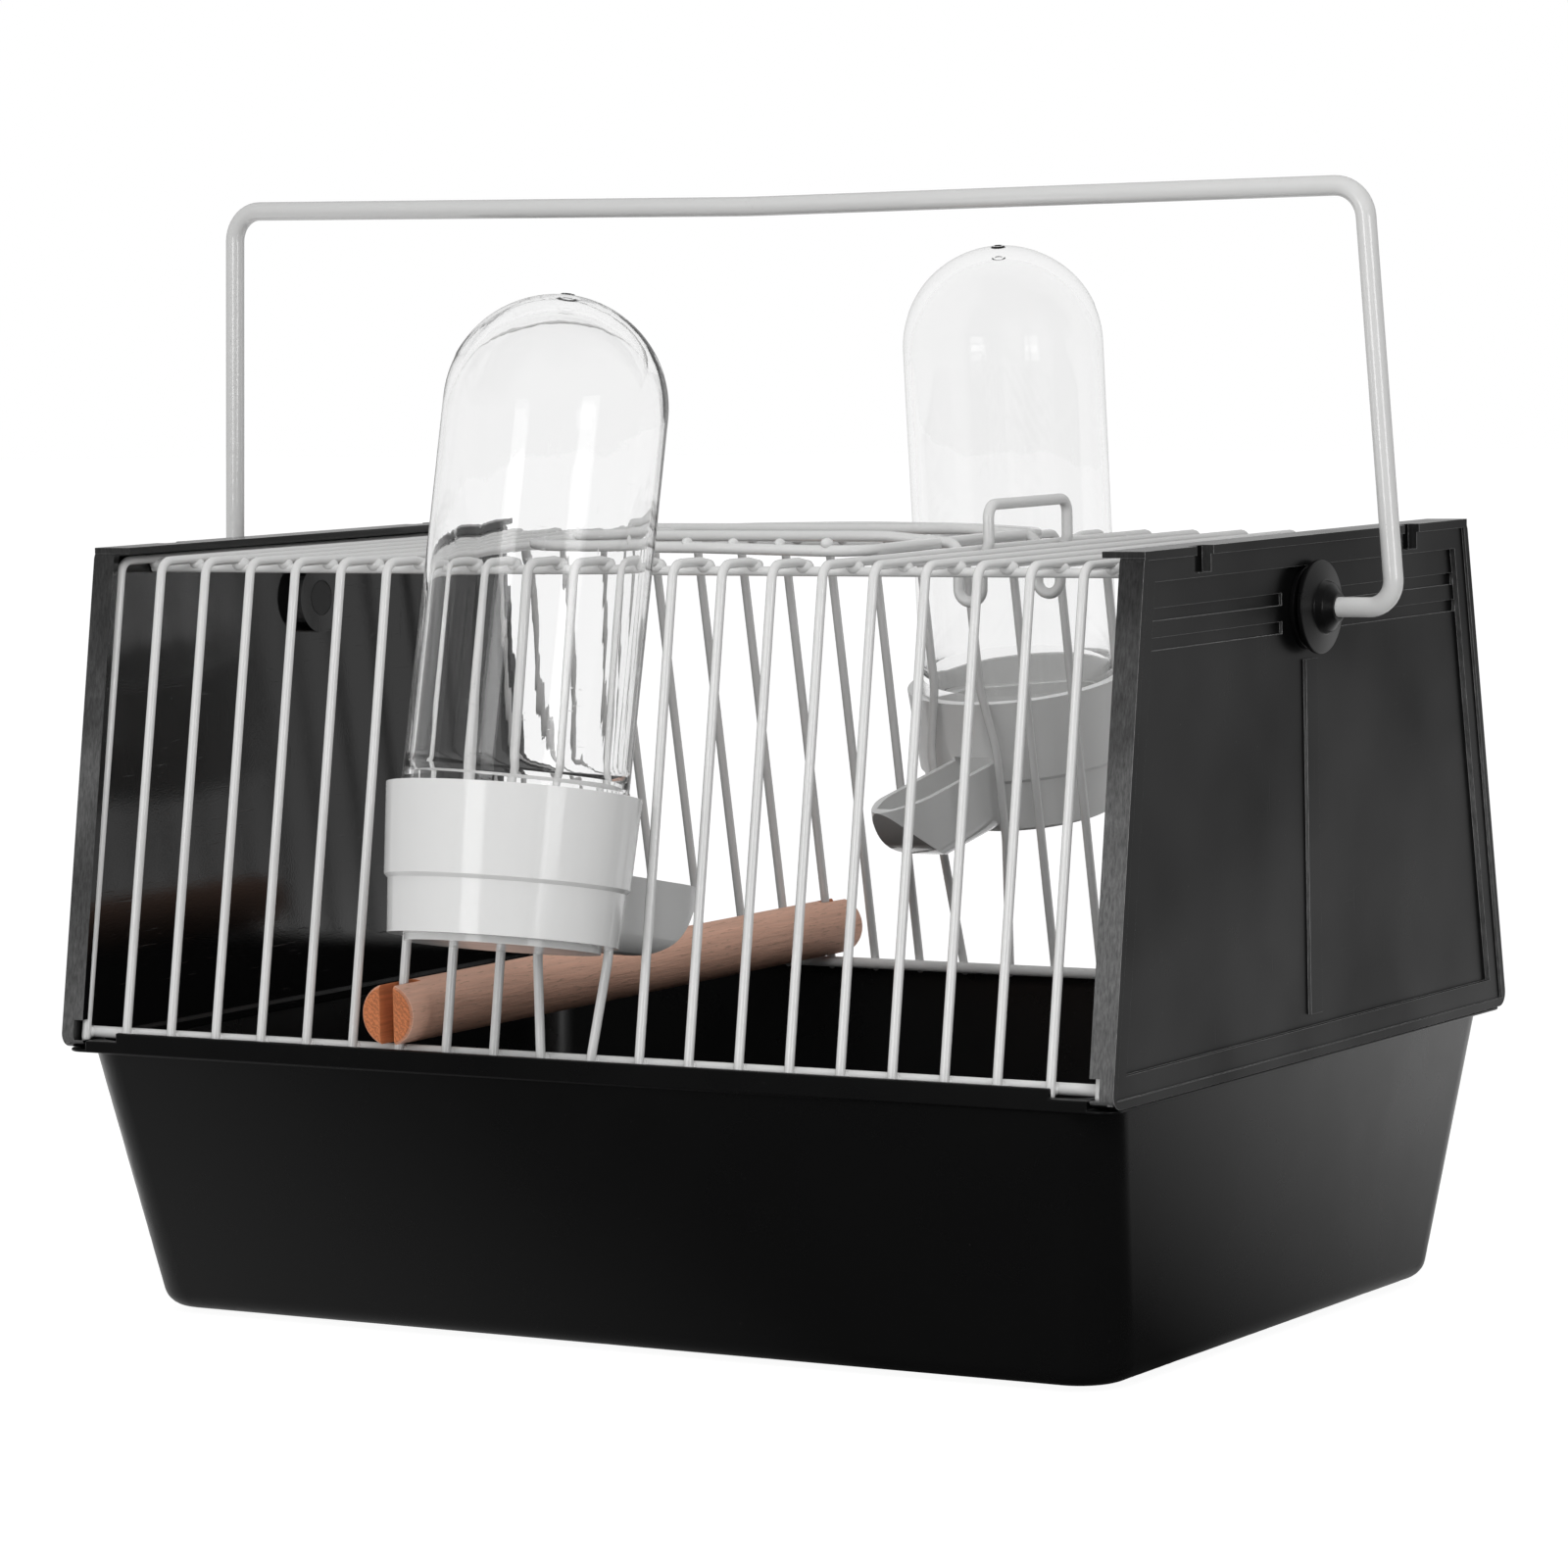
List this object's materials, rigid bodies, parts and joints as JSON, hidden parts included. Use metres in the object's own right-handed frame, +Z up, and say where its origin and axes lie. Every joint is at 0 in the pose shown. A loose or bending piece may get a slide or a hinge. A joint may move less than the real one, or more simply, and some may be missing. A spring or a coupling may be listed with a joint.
{
  "type": "bird travel carrier",
  "caption": "Small bird travel carrier: white wire hood with a roof door on a black tray, black end panels, swing handle, two outside gravity feeders and a wooden perch.",
  "frame": {"origin": "centre of the underside of the tray's foot", "axes": "+Z up, +X along the long side, -Y the front"},
  "size_m": [0.2988, 0.266, 0.2426],
  "materials": {
    "black_plastic": "glossy moulded",
    "coated_wire": "white coated wire",
    "handle_wire": "pale grey coated wire",
    "clear_plastic": "clear",
    "white_plastic": "satin moulded",
    "perch_wood": "bare dowel"
  },
  "bodies": {
    "tray": {"base_tray": "black_plastic"},
    "hood": {"front_wires": "coated_wire", "back_wires": "coated_wire", "roof_wires_left": "coated_wire", "roof_wires_right": "coated_wire", "front_roof_stubs": "coated_wire", "back_roof_stubs": "coated_wire", "front_bottom_rail": "coated_wire", "back_bottom_rail": "coated_wire", "front_top_rail": "coated_wire", "back_top_rail": "coated_wire", "left_end_panel": "black_plastic", "right_end_panel": "black_plastic", "left_handle_bush": "black_plastic", "right_handle_bush": "black_plastic"},
    "handle": {"carry_handle": "handle_wire"},
    "door": {"door_ring": "coated_wire", "door_hinge_wire": "coated_wire"},
    "front_cup": {"front_feeder_cup": "white_plastic"},
    "front_tube": {"front_feeder_tube": "clear_plastic"},
    "rear_cup": {"rear_feeder_cup": "white_plastic"},
    "rear_tube": {"rear_feeder_tube": "clear_plastic"},
    "perch": {"perch": "perch_wood"}
  },
  "joints": [
    {"name": "hood_lift", "type": "slide", "parent": "tray", "child": "hood", "axis": [0, 0, 1], "range_m": [0, 0.07]},
    {"name": "handle_swing", "type": "hinge", "parent": "hood", "child": "handle", "pos_m": [0, 0, 0.1522], "axis": [1, 0, 0], "range_deg": [-35, 35]},
    {"name": "door_lift", "type": "hinge", "parent": "hood", "child": "door", "pos_m": [0.054, 0, 0.16399], "axis": [0, 1, 0], "range_deg": [0, 34]},
    {"name": "front_cup_pull", "type": "slide", "parent": "hood", "child": "front_cup", "axis": [0, -1, 0], "range_m": [0, 0.045]},
    {"name": "front_tube_lift", "type": "slide", "parent": "front_cup", "child": "front_tube", "axis": [0, 0.1822, 0.9833], "range_m": [0, 0.02]},
    {"name": "rear_cup_pull", "type": "slide", "parent": "hood", "child": "rear_cup", "axis": [0, 1, 0], "range_m": [0, 0.045]},
    {"name": "rear_tube_lift", "type": "slide", "parent": "rear_cup", "child": "rear_tube", "axis": [0, -0.1822, 0.9833], "range_m": [0, 0.02]},
    {"name": "perch_lift", "type": "slide", "parent": "hood", "child": "perch", "axis": [0, 0, 1], "range_m": [0, 0.008]}
  ]
}
